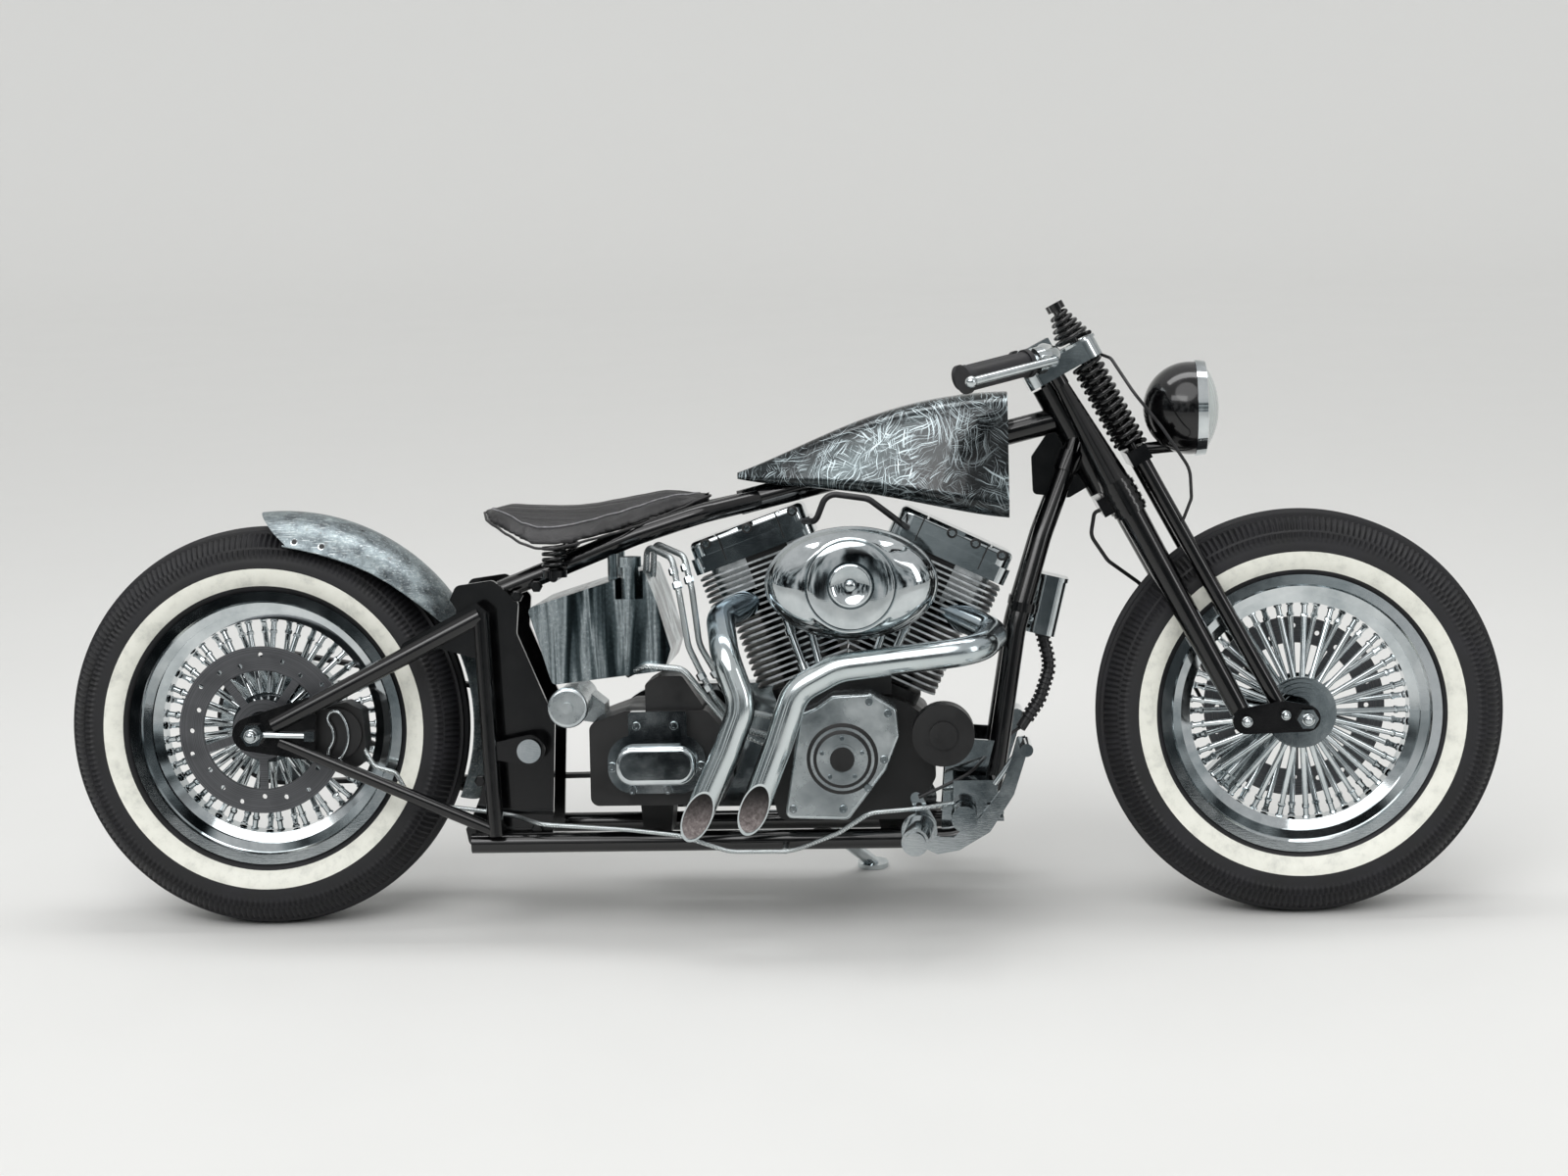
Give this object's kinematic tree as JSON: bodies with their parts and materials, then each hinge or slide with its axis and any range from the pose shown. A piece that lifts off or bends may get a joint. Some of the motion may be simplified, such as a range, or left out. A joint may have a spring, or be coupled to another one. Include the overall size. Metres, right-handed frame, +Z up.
{
  "type": "bobber motorcycle",
  "caption": "Low custom motorcycle with a springer fork, open finned vee-twin, drag pipes, teardrop tank, solo saddle and spoked whitewall wheels, parked leaning on its side stand.",
  "frame": {"origin": "middle of the bounding box's bottom, on the ground under the parked bike", "axes": "+X forward, +Y to the bike's left, towards which it leans, +Z up"},
  "size_m": [2.3048, 0.8106, 0.9827],
  "materials": {
    "alloy": "cast",
    "belt_rubber": "matte",
    "braided_steel": "braided",
    "chrome": "polished",
    "disc_iron": "dark",
    "engine_black": "satin",
    "frame_black": "gloss",
    "grip_rubber": "matte",
    "hose_black": "matte",
    "lamp_glass": "clear",
    "raw_steel": "brushed",
    "saddle_leather": "dark",
    "tank_metal": "scratched bare metal under clear coat",
    "tyre_rubber": "matte"
  },
  "bodies": {
    "chassis": {"upper_frame": "frame_black", "downtubes": "frame_black", "lower_rails": "frame_black", "rear_uprights": "frame_black", "cross_members": "frame_black", "swingarm_right": "frame_black", "swingarm_left": "frame_black", "pivot_shaft": "chrome", "rear_axle": "chrome", "rear_caliper": "engine_black", "crankcase": "engine_black", "rear_cylinder": "engine_black", "front_cylinder": "engine_black", "rocker_covers": "chrome", "pushrod_tubes": "chrome", "cam_cover": "chrome", "air_cleaner": "chrome", "intake": "alloy", "gearbox": "engine_black", "gearbox_cover": "chrome", "primary_cover": "chrome", "oil_filter": "engine_black", "starter": "chrome", "front_exhaust": "chrome", "rear_exhaust": "chrome", "breather_hose": "hose_black", "drive_belt": "belt_rubber", "rear_fender": "raw_steel", "oil_tank": "raw_steel", "fuel_tank": "tank_metal", "saddle": "saddle_leather", "saddle_mount": "frame_black", "forward_controls": "chrome", "regulator": "chrome", "regulator_hose": "hose_black", "brake_line": "braided_steel", "oil_lines": "braided_steel"},
    "steering": {"rigid_fork": "frame_black", "top_yoke": "chrome", "spring_fork": "frame_black", "fork_springs": "frame_black", "rockers": "frame_black", "handlebar": "chrome", "grips": "grip_rubber", "hand_controls": "chrome", "headlamp": "frame_black", "headlamp_ring": "chrome", "headlamp_lens": "lamp_glass", "front_axle": "chrome", "front_caliper": "chrome", "control_cables": "hose_black"},
    "front_wheel": {"front_tyre": "tyre_rubber", "front_rim": "chrome", "front_hub": "chrome", "front_disc": "disc_iron"},
    "rear_wheel": {"rear_tyre": "tyre_rubber", "rear_rim": "chrome", "rear_hub": "chrome", "rear_disc": "disc_iron"},
    "side_stand": {"side_stand": "chrome"}
  },
  "joints": [
    {"name": "steering", "type": "hinge", "parent": "chassis", "child": "steering", "pos_m": [0.44, 0.01828, 0.84163], "axis": [-0.4695, 0.1305, 0.8732], "range_deg": [-28, 28]},
    {"name": "front_wheel_spin", "type": "hinge", "parent": "steering", "child": "front_wheel", "pos_m": [0.8325, -0.06006, 0.31745], "axis": [0, 0.989, -0.1478], "continuous": true},
    {"name": "rear_wheel_spin", "type": "hinge", "parent": "chassis", "child": "rear_wheel", "pos_m": [-0.8325, -0.06006, 0.31745], "axis": [0, 0.989, -0.1478], "continuous": true},
    {"name": "side_stand_fold", "type": "hinge", "parent": "chassis", "child": "side_stand", "pos_m": [0.06, 0.04547, 0.1035], "axis": [0, 0.989, -0.1478], "range_deg": [0, 118]}
  ]
}
